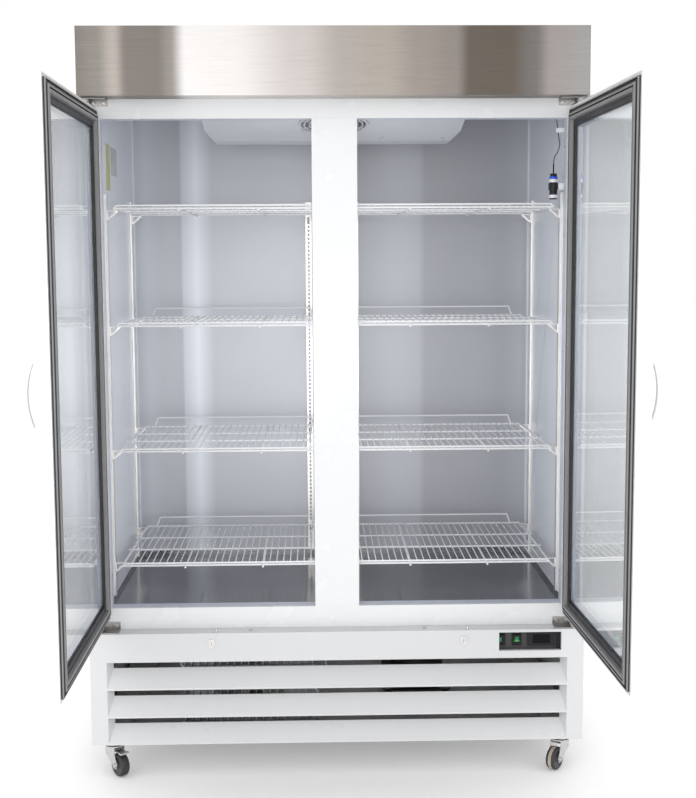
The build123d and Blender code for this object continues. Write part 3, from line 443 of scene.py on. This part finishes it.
for place in ("front_left", "front_right", "rear_left", "rear_right"):
    CAD_LOOKS[ZINC].append(f"{place}_fork")

# Width of the rounded edge that the renderer sees, in millimetres.
EDGE = 0.5
WIDE_EDGES = {"outer_shell": 1.2, "header_panel": 1.0, "front_frame": 0.6}
WELD_WITHIN = 0.00002

for material, names in CAD_LOOKS.items():
    for name in names:
        node = nodes[name]
        node.data.materials.clear()
        node.data.materials.append(material)
        weld = node.modifiers.new("weld", "WELD")
        weld.merge_threshold = WELD_WITHIN
        bevel = node.modifiers.new("bevel", "BEVEL")
        bevel.width = WIDE_EDGES.get(name, EDGE) * MM
        bevel.segments = 2
        bevel.limit_method = "ANGLE"
        bevel.angle_limit = math.radians(40)
        bevel.harden_normals = True

# ---------------------------------------------------------------- builders


def add_object(name, data, body, material, replaced=()):
    """Links a finished mesh or curve, and says what it rides on and stands for."""
    obj = bpy.data.objects.new(name, data)
    bpy.context.scene.collection.objects.link(obj)
    if material is not None:
        data.materials.clear()
        data.materials.append(material)
    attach(obj, body)
    if replaced:
        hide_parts(*replaced)
    return obj


def mesh_data(name, verts, faces, matrix=None, angle=35.0):
    """A mesh from millimetre points, with its normals outward and its sharp edges kept."""
    mesh = bpy.data.meshes.new(name)
    place = matrix if matrix is not None else Matrix.Identity(4)
    mesh.from_pydata([(place @ Vector(v)) * MM for v in verts], [], faces)
    work = bmesh.new()
    work.from_mesh(mesh)
    bmesh.ops.recalc_face_normals(work, faces=work.faces)
    work.to_mesh(mesh)
    work.free()
    even_normals(mesh, angle)
    return mesh


def even_normals(mesh, angle):
    """Smooth shading led by the large faces, and broken where they meet at more than the angle."""
    limit = math.cos(math.radians(angle))
    around = [[] for _ in mesh.vertices]
    for polygon in mesh.polygons:
        polygon.use_smooth = True
        for vertex in polygon.vertices:
            around[vertex].append((polygon.normal.copy(), polygon.area))
    normals = []
    for polygon in mesh.polygons:
        for vertex in polygon.vertices:
            total = Vector()
            for normal, area in around[vertex]:
                if normal.dot(polygon.normal) > limit:
                    total += normal * area
            normals.append(total.normalized())
    mesh.normals_split_custom_set(normals)


def rounded_box(name, low, high, radius, matrix=None, segments=3):
    """A box with rounded edges, from corner to corner."""
    work = bmesh.new()
    bmesh.ops.create_cube(work, size=1)
    size = [h - l for l, h in zip(low, high)]
    middle = [(l + h) / 2 for l, h in zip(low, high)]
    for vert in work.verts:
        vert.co = Vector([c * s + m for c, s, m in zip(vert.co, size, middle)])
    bmesh.ops.bevel(
        work,
        geom=list(work.edges),
        offset=radius,
        segments=segments,
        profile=0.5,
        affect="EDGES",
    )
    verts = [tuple(vert.co) for vert in work.verts]
    faces = [[vert.index for vert in face.verts] for face in work.faces]
    work.free()
    return mesh_data(name, verts, faces, matrix)


def ring_data(name, profile, x0, x1, z0, z1, matrix=None, angle=35.0):
    """A mitred rectangular ring: the profile is (distance in from the edge, y) points."""
    verts = []
    for right, top in ((0, 0), (1, 0), (1, 1), (0, 1)):
        for inset, y in profile:
            x = x1 - inset if right else x0 + inset
            z = z1 - inset if top else z0 + inset
            verts.append((x, y, z))
    count = len(profile)
    faces = []
    for corner in range(4):
        a = corner * count
        b = (corner + 1) % 4 * count
        for i in range(count):
            j = (i + 1) % count
            faces.append((a + i, a + j, b + j, b + i))
    return mesh_data(name, verts, faces, matrix, angle)


def lathe_data(name, profile, matrix, steps=64, angle=35.0):
    """A closed (radius, height) outline turned about the local Z axis."""
    verts = []
    for step in range(steps):
        turn = 2 * math.pi * step / steps
        for radius, height in profile:
            verts.append((radius * math.cos(turn), radius * math.sin(turn), height))
    count = len(profile)
    faces = []
    for step in range(steps):
        a = step * count
        b = (step + 1) % steps * count
        for i in range(count):
            j = (i + 1) % count
            faces.append((a + i, a + j, b + j, b + i))
    return mesh_data(name, verts, faces, matrix, angle)


def rounded_path(points, radius, steps=6, closed=False):
    """The points with an arc at each inner corner."""
    points = [Vector(p) for p in points]
    count = len(points)
    path = [] if closed else [points[0]]
    for i in range(0 if closed else 1, count if closed else count - 1):
        before, here, after = points[i - 1], points[i], points[(i + 1) % count]
        back = (before - here).normalized()
        on = (after - here).normalized()
        half = back.angle(on) / 2
        reach = radius / math.tan(half)
        centre = here + (back + on).normalized() * (radius / math.sin(half))
        start = here + back * reach - centre
        end = here + on * reach - centre
        for step in range(steps + 1):
            path.append(centre + start.slerp(end, step / steps, start))
    if not closed:
        path.append(points[-1])
    return path


def wire_data(name, runs, mirror=False):
    """Round wires: each run is (points, radius, closed)."""
    curve = bpy.data.curves.new(name, "CURVE")
    curve.dimensions = "3D"
    curve.bevel_depth = MM
    curve.bevel_resolution = 3
    curve.use_fill_caps = True
    for points, radius, closed in runs:
        spline = curve.splines.new("POLY")
        spline.points.add(len(points) - 1)
        for target, point in zip(spline.points, points):
            x = -point[0] if mirror else point[0]
            target.co = (x * MM, point[1] * MM, point[2] * MM, 1)
            target.radius = radius
        spline.use_cyclic_u = closed
    holder = bpy.data.objects.new(name, curve)
    bpy.context.scene.collection.objects.link(holder)
    graph = bpy.context.evaluated_depsgraph_get()
    mesh = bpy.data.meshes.new_from_object(holder.evaluated_get(graph))
    mesh.name = name
    bpy.data.objects.remove(holder)
    bpy.data.curves.remove(curve)
    for polygon in mesh.polygons:
        polygon.use_smooth = True
    mesh.set_sharp_from_angle(angle=math.radians(50))
    return mesh


# ------------------------------------------------------------- probe's lead

CABLE_POINTS = [
    (612.0, 62.0, 1984.5),
    (612.6, 63.4, 1940.0),
    (615.6, 61.6, 1894.0),
    (613.4, 64.6, 1848.0),
    (617.2, 61.0, 1806.0),
    (620.4, 59.6, 1776.0),
    (625.2, 56.4, 1750.0),
    (617.0, 52.6, 1726.0),
    (607.4, 49.0, 1716.0),
    (606.0, 48.0, 1698.5),
]
CABLE_R = 1.6


def probe_lead():
    """The lead from the ceiling gland, through its clip, to the stem on the bottle."""
    curve = bpy.data.curves.new("probe_lead", "CURVE")
    curve.dimensions = "3D"
    curve.bevel_depth = CABLE_R * MM
    curve.bevel_resolution = 4
    curve.resolution_u = 16
    curve.use_fill_caps = True
    spline = curve.splines.new("NURBS")
    spline.points.add(len(CABLE_POINTS) - 1)
    for target, point in zip(spline.points, CABLE_POINTS):
        target.co = (*(Vector(point) * MM), 1)
    spline.order_u = 3
    spline.use_endpoint_u = True
    lead = add_object("probe_lead", curve, "cabinet", CABLE, ["probe_cable"])


probe_lead()

# ----------------------------------------------------------------- shelves

SHELF_IN = 20.0
SHELF_OUT = 614.0
SHELF_FRONT = 15.0
SHELF_BACK = 572.0
DECK_PITCH = 19.5
RIM_CORNER = 12.0
RIM_R = 3.0
CROSS_ROD_YS = (227.0, 386.0)
RUNNER_IN = 188.0
LIP_IN = 11.0
LIP_RISE = 15.0
UPSTAND_IN = 43.0
UPSTAND_RISE = 37.0


def shelf_runs():
    """The wires of a right-hand shelf whose deck is at height 0."""
    corners = [
        (SHELF_IN, SHELF_FRONT, 0),
        (SHELF_OUT, SHELF_FRONT, 0),
        (SHELF_OUT, SHELF_BACK, 0),
        (SHELF_IN, SHELF_BACK, 0),
    ]
    runs = [(rounded_path(corners, RIM_CORNER, closed=True), RIM_R, True)]
    for y in CROSS_ROD_YS:
        runs.append(([(SHELF_IN, y, 0), (SHELF_OUT, y, 0)], 2.5, False))
    for x in (SHELF_IN + RUNNER_IN, SHELF_OUT - RUNNER_IN):
        runs.append(([(x, SHELF_FRONT, -4.0), (x, SHELF_BACK, -4.0)], 2.6, False))
    count = int((SHELF_OUT - SHELF_IN - 2 * RIM_CORNER) / DECK_PITCH)
    first = (SHELF_OUT + SHELF_IN) / 2 - DECK_PITCH * count / 2
    for i in range(count + 1):
        x = first + DECK_PITCH * i
        runs.append(([(x, SHELF_FRONT, 2.2), (x, SHELF_BACK, 2.2)], 1.5, False))
    lip = arch(LIP_IN, SHELF_FRONT + 5, 0, LIP_RISE)
    runs.append((rounded_path(lip, 8.0), 2.5, False))
    stand = arch(UPSTAND_IN, SHELF_BACK - 4, 2, UPSTAND_RISE)
    runs.append((rounded_path(stand, 10.0), 2.5, False))
    return runs


def arch(inset, y, low, high):
    """Up, along and down again between a shelf's two ends."""
    near = SHELF_IN + inset
    far = SHELF_OUT - inset
    return [(near, y, low), (near, y, high), (far, y, high), (far, y, low)]


def add_shelves():
    """Four shelves in each bay, the left ones mirrored."""
    for side, sign in SIDES.items():
        data = wire_data(f"{side}_shelf_wires", shelf_runs(), mirror=sign < 0)
        for number, level in enumerate(SHELF_LEVELS, start=1):
            copy = data.copy()
            copy.transform(Matrix.Translation((0, 0, level * MM)))
            name = f"{side}_shelf_{number}"
            add_object(f"{name}_wires", copy, name, WIRE, [name])


add_shelves()

# ------------------------------------------------------------------- doors


def door_matrix(side):
    """From the closed left door's own frame to where that side's door stands, in millimetres."""
    pivot = Matrix.Translation((-HALF + PIVOT_IN, FRONT + PIVOT_BACK, 0))
    swing = Matrix.Rotation(math.radians(-OPENED[side]), 4, "Z")
    place = pivot @ swing @ Matrix.Translation((-PIVOT_IN, -PIVOT_BACK, 0))
    return place if side == "left" else Matrix.Scale(-1, 4, (1, 0, 0)) @ place


# Points across the gasket (distance in from the door's edge, y), and whether the face from each
# point to the next gets the black rubber as painted shade, not the grey rubber with painted sheen.
GASKET_PROFILE = [
    (10.0, 36.8, True),
    (9.7, 40.8, False),
    (10.0, 43.2, False),
    (10.8, 44.0, False),
    (13.4, 44.0, True),
    (14.4, 40.4, True),
    (21.6, 40.4, True),
    (22.0, 45.4, False),
    (22.8, 47.8, False),
    (24.4, 48.8, False),
    (28.4, 48.7, True),
    (29.2, 44.6, True),
    (31.4, 44.6, True),
    (32.2, 48.2, False),
    (37.4, 48.0, False),
    (39.4, 46.6, False),
    (40.2, 43.0, False),
    (40.6, 36.8, True),
]
BEAD_PROFILE = [
    (40.9, 37.05),
    (41.3, 38.3),
    (53.8, 38.2),
    (55.3, 37.2),
    (55.8, 32.05),
    (55.1, 32.05),
    (55.05, 37.05),
]
SPACER_PROFILE = [
    (47.4, 12.1),
    (47.4, 27.9),
    (59.0, 27.9),
    (60.0, 27.0),
    (60.0, 13.0),
    (59.0, 12.1),
]
PANE_IN = 47.2
PANE_THICK = 4.0
PANE_FRONTS = {"outer": 8.0, "inner": 28.0}


def add_doors():
    """Gasket, glazing bead, two panes and the spacer bar of each door."""
    for side in SIDES:
        body = f"{side}_door"
        place = door_matrix(side)
        extent = (0.0, DOOR_WIDTH, DOOR_BOTTOM, DOOR_TOP)
        outline = [point[:2] for point in GASKET_PROFILE]
        gasket = ring_data(f"{side}_gasket", outline, *extent, place, 25.0)
        add_object(
            f"{side}_gasket", gasket, body, GASKET_RUBBER_AND_SHEEN, [f"{side}_door_gasket"]
        )
        gasket.materials.append(BLACK_RUBBER_AND_SHADE)
        # Faces flagged in the profile get the black rubber as painted shade.
        for polygon in gasket.polygons:
            shaded = GASKET_PROFILE[polygon.index % len(GASKET_PROFILE)][2]
            polygon.material_index = 1 if shaded else 0
        bead = ring_data(f"{side}_glazing_bead", BEAD_PROFILE, *extent, place)
        add_object(f"{side}_glazing_bead", bead, body, BLACK_RUBBER_AND_SHADE, ())
        for label, front in PANE_FRONTS.items():
            low = (PANE_IN, front, DOOR_BOTTOM + PANE_IN)
            high = (DOOR_WIDTH - PANE_IN, front + PANE_THICK, DOOR_TOP - PANE_IN)
            pane = rounded_box(f"{side}_{label}_pane", low, high, 0.4, place, 2)
            replaced = [f"{side}_door_glass"] if label == "outer" else ()
            add_object(f"{side}_{label}_pane", pane, body, GLASS, replaced)
        spacer = ring_data(f"{side}_spacer_bar", SPACER_PROFILE, *extent, place)
        add_object(f"{side}_spacer_bar", spacer, body, SPACER, ())


add_doors()

# ---------------------------------------------------------------- controls

PLATE_FRONT = -43.0
ROCKER_XS = {"power": 455.5, "light": 501.2}
ROCKER_PIVOT_Y = -38.0
ROCKER_Z = 379.5
ROCKER_TILT = math.radians(8.0)
BEZEL_HALF_WIDE = 13.6
BEZEL_HALF_TALL = 18.6


def add_controls():
    """Face of the controller, dark bar at its right, rocker bezels and the rockers' green marks."""
    y = PLATE_FRONT
    low = (544.6, y - 5.3, 366.6)
    high = (594.4, y - 4.9, 393.4)
    parts = [
        ("controller_face_top", (529.8, y - 6.6, 393.0), (609.6, y - 5.2, 397.2), CONTROLLER),
        ("controller_face_low", (529.8, y - 6.6, 359.8), (609.6, y - 5.2, 367.0), CONTROLLER),
        ("controller_face_left", (529.8, y - 6.55, 366.0), (545.0, y - 5.2, 394.0), CONTROLLER),
        ("controller_face_right", (594.0, y - 6.55, 366.0), (609.6, y - 5.2, 394.0), CONTROLLER),
        ("display_glass", low, high, DISPLAY),
        ("end_bar", (613.8, y - 6.6, 346.8), (628.2, y - 0.2, 407.2), BLACK),
    ]
    for name, a, b, material in parts:
        radius = min(0.6, 0.45 * min(q - p for p, q in zip(a, b)))
        add_object(name, rounded_box(name, a, b, radius), "cabinet", material, ())
    ring = [
        (0.0, y + 0.1),
        (0.3, y - 3.2),
        (1.0, y - 3.7),
        (2.9, y - 3.7),
        (3.3, y - 3.2),
        (3.3, y + 0.1),
    ]
    for name, x in ROCKER_XS.items():
        sides = (x - BEZEL_HALF_WIDE, x + BEZEL_HALF_WIDE)
        ends = (ROCKER_Z - BEZEL_HALF_TALL, ROCKER_Z + BEZEL_HALF_TALL)
        data = ring_data(f"{name}_bezel", ring, *sides, *ends)
        add_object(f"{name}_bezel", data, "cabinet", BLACK, ())
    tilt = Matrix.Rotation(ROCKER_TILT, 4, "X")
    marks = [
        ("power", "mark", (-2.6, -6.4), (2.6, 6.4), GREEN),
        ("light", "lens_top", (-4.6, 3.4), (4.6, 7.4), GREEN),
        ("light", "lens_left", (-4.6, -2.2), (-1.6, 3.8), GREEN),
        ("light", "lens_right", (1.6, -2.2), (4.6, 3.8), GREEN),
        ("light", "lens_middle", (-3.0, -1.4), (3.0, 1.2), GREEN),
        ("light", "foot_left", (-7.4, -6.6), (-1.2, -1.6), GREEN),
        ("light", "foot_right", (1.2, -6.6), (7.4, -1.6), GREEN),
        ("light", "glow", (-1.0, -5.4), (1.0, -2.2), AMBER),
    ]
    for rocker, label, (x0, z0), (x1, z1), material in marks:
        place = Matrix.Translation((ROCKER_XS[rocker], ROCKER_PIVOT_Y, ROCKER_Z)) @ tilt
        name = f"{rocker}_{label}"
        data = rounded_box(name, (x0, -9.9, z0), (x1, -9.3, z1), 0.25, place, 2)
        add_object(name, data, f"{rocker}_rocker", material, ())


add_controls()

# ------------------------------------------------------- labels and bottle


LEFT_WALL_X = -636.0
LABEL_THICK = 0.6
BOTTLE_AXIS = (606.0, 48.0, 0)
BOTTLE_BANDS = [
    ("bottle_band_low", 1603.0, 1612.0, BOTTLE_WHITE),
    ("bottle_band_high", 1646.0, 1655.0, BOTTLE_WHITE),
    ("bottle_label", 1655.4, 1662.0, BOTTLE_BLUE),
]


def add_labels():
    """Two plain cards on the left wall."""
    cards = [
        ("green_label", 116.0, 186.0, 1634.0, 1763.0, LABEL_GREEN),
        ("grey_label", 202.0, 312.0, 1681.0, 1760.0, LABEL_GREY),
    ]
    for name, y0, y1, z0, z1, material in cards:
        low = (LEFT_WALL_X, y0, z0)
        high = (LEFT_WALL_X + LABEL_THICK, y1, z1)
        data = rounded_box(name, low, high, 0.2, None, 2)
        add_object(name, data, "cabinet", material, ())


def add_bottle_bands():
    """Thin rings round the probe's bottle."""
    place = Matrix.Translation(BOTTLE_AXIS)
    for name, low, high, material in BOTTLE_BANDS:
        outline = [
            (11.02, low),
            (11.3, low + 0.4),
            (11.3, high - 0.4),
            (11.02, high),
            (10.6, high),
            (10.6, low),
        ]
        data = lathe_data(name, outline, place, 48)
        add_object(name, data, "cabinet", material, ())


add_labels()
add_bottle_bands()

# ------------------------------------------------------------------ wheels

WHEEL_R = 32.5
TRAIL = 30.0
# Swivel axis, and the way the fork points, in degrees.
CASTERS = {
    "front_left": (-630.0, -22.0, -52.0),
    "front_right": (630.0, -22.0, -128.0),
    "rear_left": (-630.0, 640.0, 65.0),
    "rear_right": (630.0, 640.0, 110.0),
}
TREAD_SIDE = [
    (27.4, 13.0),
    (28.6, 12.9),
    (30.4, 11.6),
    (31.6, 9.4),
    (32.2, 7.2),
    (32.3, 6.0),
    (31.6, 5.6),
    (31.6, 5.0),
    (32.45, 4.6),
    (32.5, 2.0),
]
HUB_SIDE = [
    (4.1, 13.0),
    (9.5, 13.0),
    (11.0, 11.0),
    (12.0, 10.2),
    (21.0, 9.6),
    (23.5, 10.4),
    (25.5, 12.6),
    (27.6, 12.8),
]
BAND_HALF = 4.8
BAND_INSIDE = 30.5


def both_sides(outline):
    """A half outline of (radius, height) points and its mirror image below."""
    return outline + [(radius, -height) for radius, height in reversed(outline)]


def paint_band(tyre, axle, along):
    """The middle of the tread in a second colour."""
    tyre.materials.append(BAND)
    for polygon in tyre.polygons:
        offset = polygon.center - axle
        sideways = offset.dot(along)
        radius = (offset - along * sideways).length
        if abs(sideways) < BAND_HALF * MM and radius > BAND_INSIDE * MM:
            polygon.material_index = 1


def add_wheels():
    """A tyre and a hub for each caster, turned with its fork."""
    flat = Matrix.Rotation(math.radians(-90), 4, "X")
    for name, (x, y, angle) in CASTERS.items():
        turn = math.radians(angle)
        axle = Vector((x + TRAIL * math.cos(turn), y + TRAIL * math.sin(turn), WHEEL_R))
        place = Matrix.Translation(axle) @ Matrix.Rotation(turn, 4, "Z") @ flat
        tyre = lathe_data(f"{name}_tyre", both_sides(TREAD_SIDE), place, 72)
        node = f"{name}_wheel"
        add_object(f"{name}_tyre", tyre, node, TREAD, [node])
        if name == "front_right":
            along = Vector((-math.sin(turn), math.cos(turn), 0))
            paint_band(tyre, axle * MM, along)
        hub = lathe_data(f"{name}_hub", both_sides(HUB_SIDE), place, 48)
        add_object(f"{name}_hub", hub, node, HUB, ())


add_wheels()

# ------------------------------------------------------------------- stage


FLOOR_REACH = 30.0
# Each light: name, place, aim, width, height, power in watts. All in metres.
SOFTBOXES = [
    ("key_left", (-2.2, -4.6, 2.2), (0, 0, 1.1), 2.4, 2.4, 22),
    ("key_right", (2.4, -4.8, 2.0), (0, 0, 1.1), 2.0, 2.4, 14),
    ("fill_front", (-0.2, -4.9, 0.9), (0, 0.6, 1.2), 1.6, 1.2, 24),
    ("bay_strip_1", (-0.012, 0.05, 1.15), (-1.012, 0.4, 1.15), 0.016, 1.15, 0.85),
    ("bay_strip_3", (0.012, 0.05, 1.15), (1.012, 0.4, 1.15), 0.016, 1.15, 0.85),
]


def add_stage():
    """A pale floor with a faint glow of its own, and an even white surround."""
    look = Look("studio_floor", (0.97, 0.97, 0.97), 0.7)
    look.mottle(look.noise(0.6, 2.0), 0.004)
    look.set(Emission_Strength=0.12)
    look.shader.inputs["Emission Color"].default_value = (1, 1, 1, 1)
    mesh = bpy.data.meshes.new("studio_floor")
    ways = ((-1, -1), (1, -1), (1, 1), (-1, 1))
    corners = [(FLOOR_REACH * x, FLOOR_REACH * y, 0) for x, y in ways]
    mesh.from_pydata(corners, [], [(0, 1, 2, 3)])
    mesh.materials.append(look.material)
    floor = bpy.data.objects.new("studio_floor", mesh)
    bpy.context.scene.collection.objects.link(floor)
    world = bpy.data.worlds.new("studio")
    world.use_nodes = True
    surround = world.node_tree.nodes["Background"]
    surround.inputs["Color"].default_value = (1, 1, 1, 1)
    surround.inputs["Strength"].default_value = 1.0
    bpy.context.scene.world = world


def add_softbox(name, at, aim, wide, tall, power):
    """A soft rectangular light that faces its aim."""
    light = bpy.data.lights.new(name, "AREA")
    light.shape = "RECTANGLE"
    light.size = wide
    light.size_y = tall
    light.energy = power
    obj = bpy.data.objects.new(name, light)
    obj.location = at
    obj.rotation_euler = (Vector(aim) - Vector(at)).to_track_quat("-Z", "Y").to_euler()
    bpy.context.scene.collection.objects.link(obj)


add_stage()
for softbox in SOFTBOXES:
    add_softbox(*softbox)
scene = bpy.context.scene
scene.view_settings.view_transform = "Standard"
scene.view_settings.look = "None"
